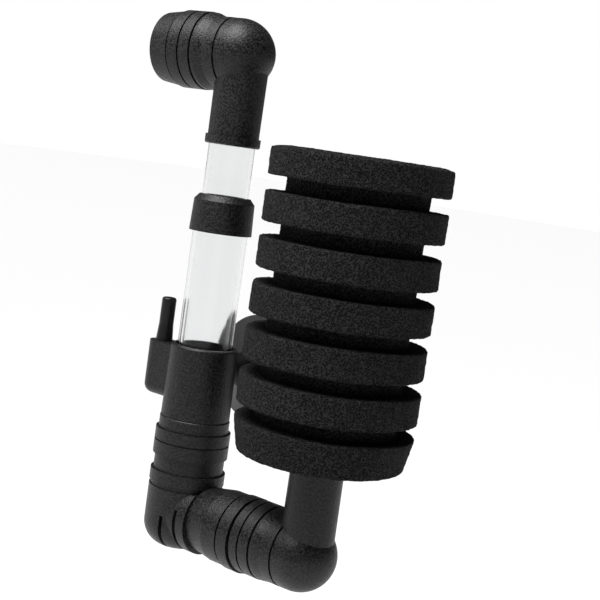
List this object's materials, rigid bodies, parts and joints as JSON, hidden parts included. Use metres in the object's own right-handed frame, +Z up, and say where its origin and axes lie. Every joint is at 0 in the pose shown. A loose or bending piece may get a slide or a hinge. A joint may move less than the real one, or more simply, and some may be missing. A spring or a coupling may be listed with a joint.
{
  "type": "sponge filter",
  "caption": "Air-driven aquarium sponge filter: a grooved black foam cylinder on a swivelling elbow beside a clear telescopic riser with a turning outlet and a suction cup.",
  "frame": {"origin": "centre of the suction cup's rim, in the plane of the tank wall that it sticks to", "axes": "+Z up along the riser, +Y into the wall, +X from the riser to the sponge"},
  "size_m": [0.122, 0.062, 0.191],
  "materials": {
    "housing_plastic": "black moulded plastic with a fine spark-eroded grain",
    "elbow_plastic": "black moulded plastic with a fine spark-eroded grain",
    "nipple_plastic": "black moulded plastic, smoother than the housing",
    "clear_acrylic": "clear extruded acrylic tube, polished",
    "foam": "black open-cell filter foam",
    "soft_rubber": "black flexible PVC, slightly glossy",
    "strainer_plastic": "black moulded plastic, smooth"
  },
  "bodies": {
    "cup": {"suction_cup": "soft_rubber"},
    "base": {"air_chamber": "housing_plastic", "base_elbow": "housing_plastic", "air_nipple": "nipple_plastic", "air_diffuser": "strainer_plastic", "lower_tube": "clear_acrylic", "riser_collar": "elbow_plastic", "grip_ring": "soft_rubber"},
    "riser": {"upper_tube": "clear_acrylic"},
    "outlet": {"outlet_elbow": "elbow_plastic"},
    "arm": {"sponge_elbow": "elbow_plastic", "strainer_tube": "strainer_plastic", "strainer_cap": "strainer_plastic"},
    "foam": {"sponge": "foam"}
  },
  "joints": [
    {"name": "cup_turn", "type": "hinge", "parent": "cup", "child": "base", "pos_m": [0, 0, 0], "axis": [0, 1, 0], "continuous": true},
    {"name": "riser_slide", "type": "slide", "parent": "base", "child": "riser", "axis": [0, 0, 1], "range_m": [-0.0175, 0.004]},
    {"name": "outlet_swivel", "type": "hinge", "parent": "riser", "child": "outlet", "pos_m": [0, -0.032, 0.1133], "axis": [0, 0, 1], "continuous": true},
    {"name": "arm_swivel", "type": "hinge", "parent": "base", "child": "arm", "pos_m": [0, -0.032, -0.0503], "axis": [1, 0, 0], "continuous": true},
    {"name": "sponge_lift", "type": "slide", "parent": "arm", "child": "foam", "axis": [0, 0, 1], "range_m": [0, 0.096]}
  ]
}
